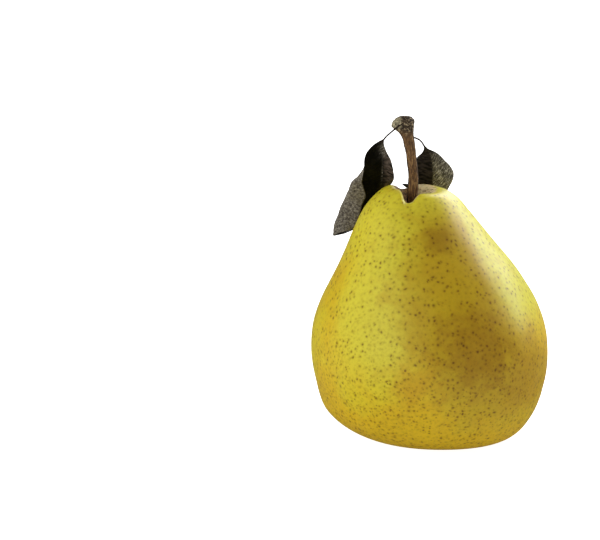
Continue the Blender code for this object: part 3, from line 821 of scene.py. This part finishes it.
# Black face, and brown tissue wrinkled across.
black_share = add_node(tree, "MapRange", SOFT, {0: mottle, 1: 0.4, 2: 0.7})
face_shade = add_node(tree, "Mix", BLEND, {0: black_share, 6: colour("#040403"), 7: colour("#13110D")})
narrowed = add_node(tree, "Math", TIMES, {0: across, 1: 0.35})
wrinkle_place = add_node(tree, "CombineXYZ", None, {0: narrowed, 1: down})
wrinkles = add_node(
    tree, "TexNoise", None,
    {"Vector": wrinkle_place, "Scale": 1.1, "Detail": 3.0, "Roughness": 0.6},
)
wrinkle_share = add_node(tree, "MapRange", SOFT, {0: wrinkles, 1: 0.36, 2: 0.62})
brown_shade = add_node(tree, "Mix", BLEND, {0: wrinkle_share, 6: colour("#191310"), 7: colour("#695B4F")})
face_shade = add_node(tree, "Mix", BLEND, {0: browned, 6: face_shade, 7: brown_shade})

# Pale streaks, bleached and in part painted light, run up and outward across the veins.
up_streak = add_node(tree, "VectorMath", DOT, {0: spot, 1: (0.25, -0.25, 0.0)}).outputs["Value"]
over_streak = add_node(tree, "VectorMath", DOT, {0: spot, 1: (1.0, 1.0, 0.0)}).outputs["Value"]
streak_place = add_node(tree, "CombineXYZ", None, {0: up_streak, 1: over_streak})
streaks = add_node(
    tree, "TexNoise", None,
    {"Vector": streak_place, "Scale": 1.7, "Detail": 3.0, "Roughness": 0.65},
)
streaks = add_node(tree, "Math", TIMES_PLUS, {0: felt, 1: 0.45, 2: streaks})
bleached_shade = add_node(
    tree, "ValToRGB", {"stops": [(0.56, "#1C1915"), (0.74, "#5C564A"), (0.90, "#BAB3A3")]}, {0: streaks}
)
face_shade = add_node(tree, "Mix", BLEND, {0: bleached, 6: face_shade, 7: bleached_shade})

# Grey felt under the leaf.
under = add_node(
    tree, "ValToRGB", {"stops": [(0.36, "#3F3934"), (0.50, "#6F685C"), (0.66, "#A39C8C")]}, {0: felt}
)
leaf_shade = add_node(tree, "Mix", BLEND, {0: on_face, 6: under, 7: face_shade})
leaf_shade = add_node(tree, "Mix", BLEND, {0: stalky, 6: leaf_shade, 7: colour("#2E2118")})
leaf_relief = add_node(tree, "Bump", None, {"Strength": 0.5, "Distance": 0.0002, "Height": felt})
leaf_dull = add_node(tree, "Math", TIMES_PLUS, {0: on_face, 1: -0.25, 2: 0.9})
leaf_tissue = add_node(
    tree, "BsdfPrincipled", None,
    {
        "Base Color": leaf_shade,
        "Roughness": leaf_dull,
        "IOR": 1.4,
        "Specular IOR Level": 0.2,
        "Normal": leaf_relief,
    },
)
add_node(tree, "OutputMaterial", None, {"Surface": leaf_tissue})
for leaf, node_name in ((left_leaf, "left_leaf"), (right_leaf, "right_leaf")):
    leaf.data.materials.append(dry_leaf)
    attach(leaf, "root")
    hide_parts(node_name)

# ---------------------------------------------------------------------------------------------------------
# Calyx. Five dried lobes of the flower stand round the eye, rooted in its wall, arched and curled at the tip,
# with the dried stamens in a tuft between them. They are brown, brittle and hairy.
EYE_MIDDLE = np.array([1.6, 0.0, 0.0])
SEPALS = 5
SEPAL_WIDTH = 2.9
SEPAL_THICKNESS = 0.42
# Each lobe runs out from its root and down, and lifts again towards its tip. It is cupped across.
SEPAL_ROOT = 2.4
SEPAL_REACH = 4.2
SEPAL_HEIGHT = 6.3
SEPAL_DROOP = 3.2
SEPAL_TIP_LIFT = 1.2
SEPAL_CUP = 0.10
SEPAL_FIRST_ANGLE = 0.3
SEPAL_RINGS = 40
SEPAL_SIDES = 40
# The stamens stand in a spiral, and each ends in a dried pollen sac.
THREADS = 14
THREAD_TURN = 0.382
THREAD_RADIUS = 0.17
THREAD_SIDES = 9
THREAD_RINGS = 12
TUFT_RADIUS = 1.15
TUFT_ROOT = 7.0
TUFT_HEIGHT = 3.6
POLLEN_SAC = 0.12

# Dried calyx: the green of the flower's lobes, gone to a brown papery tissue with short hairs, quite dull.
dry_calyx, tree = new_material("dried calyx")
place = add_node(tree, "TexCoord").outputs["Object"]
in_mm = add_node(tree, "VectorMath", TO_MM, {0: place, "Scale": 1000.0}).outputs[0]
hairs = add_node(tree, "TexNoise", None, {"Vector": in_mm, "Scale": 3.0, "Detail": 5.0, "Roughness": 0.75})
calyx_shade = add_node(tree, "ValToRGB", {"stops": [(0.35, "#1E140C"), (0.68, "#7C6242")]}, {0: hairs})
calyx_relief = add_node(tree, "Bump", None, {"Strength": 0.6, "Distance": 0.0002, "Height": hairs})
papery = add_node(
    tree, "BsdfPrincipled", None,
    {"Base Color": calyx_shade, "Roughness": 0.88, "IOR": 1.4, "Normal": calyx_relief},
)
add_node(tree, "OutputMaterial", None, {"Surface": papery})

ring_turn = np.linspace(0.0, math.tau, SEPAL_SIDES, endpoint=False)
up = np.array([0.0, 0.0, 1.0])
for index in range(SEPALS):
    turned = math.tau * index / SEPALS + SEPAL_FIRST_ANGLE
    out = np.array([math.cos(turned), math.sin(turned), 0.0])
    aside = np.array([-math.sin(turned), math.cos(turned), 0.0])
    rings = []
    for share in np.linspace(0.0, 1.0, SEPAL_RINGS):
        height = SEPAL_HEIGHT - SEPAL_DROOP * share + SEPAL_TIP_LIFT * share**3
        middle = EYE_MIDDLE + out * (SEPAL_ROOT + SEPAL_REACH * share) + up * height
        half_wide = 0.5 * SEPAL_WIDTH * math.cos(0.48 * math.pi * share) ** 0.7
        half_thick = 0.5 * SEPAL_THICKNESS * (1.0 - 0.4 * share)
        cup = SEPAL_CUP * np.cos(ring_turn) ** 2 * half_wide
        rings.append([
            middle + aside * half_wide * math.cos(a) + up * (half_thick * math.sin(a) + rise)
            for a, rise in zip(ring_turn, cup)
        ])
    rings = np.array(rings)
    rings += up * (0.10 * rough_field(rings, 0.9, 20 + index))[:, :, None]
    sepal = ring_mesh(f"dried_sepal_{index + 1}", rings + SHIFT)
    sepal.data.materials.append(dry_calyx)
    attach(sepal, "root")
    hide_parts(f"sepal_{index + 1}")

# The stamens: threads that lean together from one root, each a closed tapering tube, joined as one tuft.
thread_turn = np.linspace(0.0, math.tau, THREAD_SIDES, endpoint=False)
thread_circle = np.stack([np.cos(thread_turn), np.sin(thread_turn), 0.0 * thread_turn], axis=1)
tuft_rings = []
for index in range(THREADS):
    turned = math.tau * index * THREAD_TURN
    start = TUFT_RADIUS * math.sqrt((index + 0.5) / THREADS)
    lean = 0.35 * math.sin(3.1 * index)
    rings = []
    for share in np.linspace(0.0, 1.0, THREAD_RINGS):
        bent = turned + lean * share
        middle = EYE_MIDDLE + np.array([math.cos(bent), math.sin(bent), 0.0]) * start * (1.0 - 0.25 * share)
        middle[2] = TUFT_ROOT - TUFT_HEIGHT * share
        thick = THREAD_RADIUS * (1.0 - 0.35 * share) + POLLEN_SAC * bump(share - 0.93, 0.07)
        rings.append(middle + thick * thread_circle)
    tuft_rings.append(np.array(rings))
threads = [ring_mesh(f"thread_{index}", rings + SHIFT) for index, rings in enumerate(tuft_rings)]
tuft = threads[0]
with bpy.context.temp_override(active_object=tuft, object=tuft, selected_editable_objects=threads):
    bpy.ops.object.join()
tuft.name = "dried_stamens"
tuft.data.materials.append(dry_calyx)
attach(tuft, "root")
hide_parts("stamen_tuft")

# ---------------------------------------------------------------------------------------------------------
# Studio. A white acrylic table in a white room. A wide wall of soft light stands at the left, and a smaller
# and stronger one behind on the right, which lays the broad sheen down the right shoulder.
TABLE_SIZE = 8.0

corner = TABLE_SIZE / 2
table_mesh = bpy.data.meshes.new("white_table")
table_mesh.from_pydata(
    [(-corner, -corner, 0.0), (corner, -corner, 0.0), (corner, corner, 0.0), (-corner, corner, 0.0)],
    [], [(0, 1, 2, 3)],
)
table = bpy.data.objects.new("white_table", table_mesh)
bpy.context.scene.collection.objects.link(table)
table.location.z = -0.0001
# Matt white acrylic, lit from beneath so that it shows no edge. Its mirror image in the wax is dulled, as a
# polarising filter would dull it.
white_acrylic, tree = new_material("lit white acrylic")
rays = add_node(tree, "LightPath")
seen = rays.outputs["Is Camera Ray"]
mirrored = rays.outputs["Is Glossy Ray"]
faint_glow = add_node(tree, "MapRange", SOFT, {0: mirrored, 1: 0.0, 2: 1.0, 3: 0.17, 4: 0.03})
glow = add_node(tree, "Math", TIMES_PLUS, {0: seen, 1: 0.77, 2: faint_glow})
matt_shade = add_node(tree, "Mix", BLEND, {0: mirrored, 6: colour("#EDEDEB"), 7: colour("#5A5A59")})
matt = add_node(tree, "BsdfDiffuse", None, {"Color": matt_shade})
lamp = add_node(tree, "Emission", None, {"Color": colour("#FFFFFF"), "Strength": glow})
lit_matt = add_node(tree, "AddShader", None, {0: matt, 1: lamp})
add_node(tree, "OutputMaterial", None, {"Surface": lit_matt})
table_mesh.materials.append(white_acrylic)

room = bpy.data.worlds.new("white_room")
bpy.context.scene.world = room
room.use_nodes = True
tree = room.node_tree
tree.nodes.clear()
rays = add_node(tree, "LightPath")
seen = rays.outputs["Is Camera Ray"]
mirrored = rays.outputs["Is Glossy Ray"]
# White to the eye, grey as a light, and darker again where the wax mirrors it. It is bright far behind.
direction = add_node(tree, "TexCoord").outputs["Generated"]
backward = add_node(tree, "SeparateXYZ", None, {0: direction}).outputs["Y"]
walls = add_node(tree, "MapRange", SOFT, {0: mirrored, 1: 0.0, 2: 1.0, 3: 0.27, 4: 0.06})
bright_behind = add_node(tree, "MapRange", SOFT, {0: backward, 1: 0.85, 2: 1.0})
lit = add_node(tree, "Math", {"operation": "MAXIMUM"}, {0: walls, 1: bright_behind})
lit = add_node(tree, "Math", {"operation": "MAXIMUM"}, {0: seen, 1: lit})
sky = add_node(tree, "Background", None, {"Color": colour("#FFFFFF"), "Strength": lit})
add_node(tree, "OutputWorld", None, {"Surface": sky})

# Each light is (name, degrees to the right of the front, degrees up, width, height, power in watts, whether
# the wax mirrors it). The wall at the left is matt cloth, so it isn't mirrored.
LIGHT_DISTANCE = 0.85
LIGHT_AIM = Vector((0.0, 0.0, 0.045))
LIGHTS = [
    ("left_wall", -82.0, 25.0, 1.20, 0.70, 3.5, False),
    ("front_softbox", -34.0, 18.0, 0.60, 0.60, 1.25, True),
    ("right_softbox", 132.0, 30.0, 1.10, 0.55, 9.6, True),
]
for name, around, upward, width, tall, power, in_wax in LIGHTS:
    light = bpy.data.lights.new(name, "AREA")
    light.shape = "RECTANGLE"
    light.size = width
    light.size_y = tall
    light.energy = power
    holder = bpy.data.objects.new(name, light)
    bpy.context.scene.collection.objects.link(holder)
    holder.visible_glossy = in_wax
    tilt = math.radians(upward)
    out = Vector(toward(around)) * math.cos(tilt) + Vector((0.0, 0.0, math.sin(tilt)))
    holder.location = out * LIGHT_DISTANCE + LIGHT_AIM
    holder.rotation_euler = (-out).to_track_quat("-Z", "Y").to_euler()
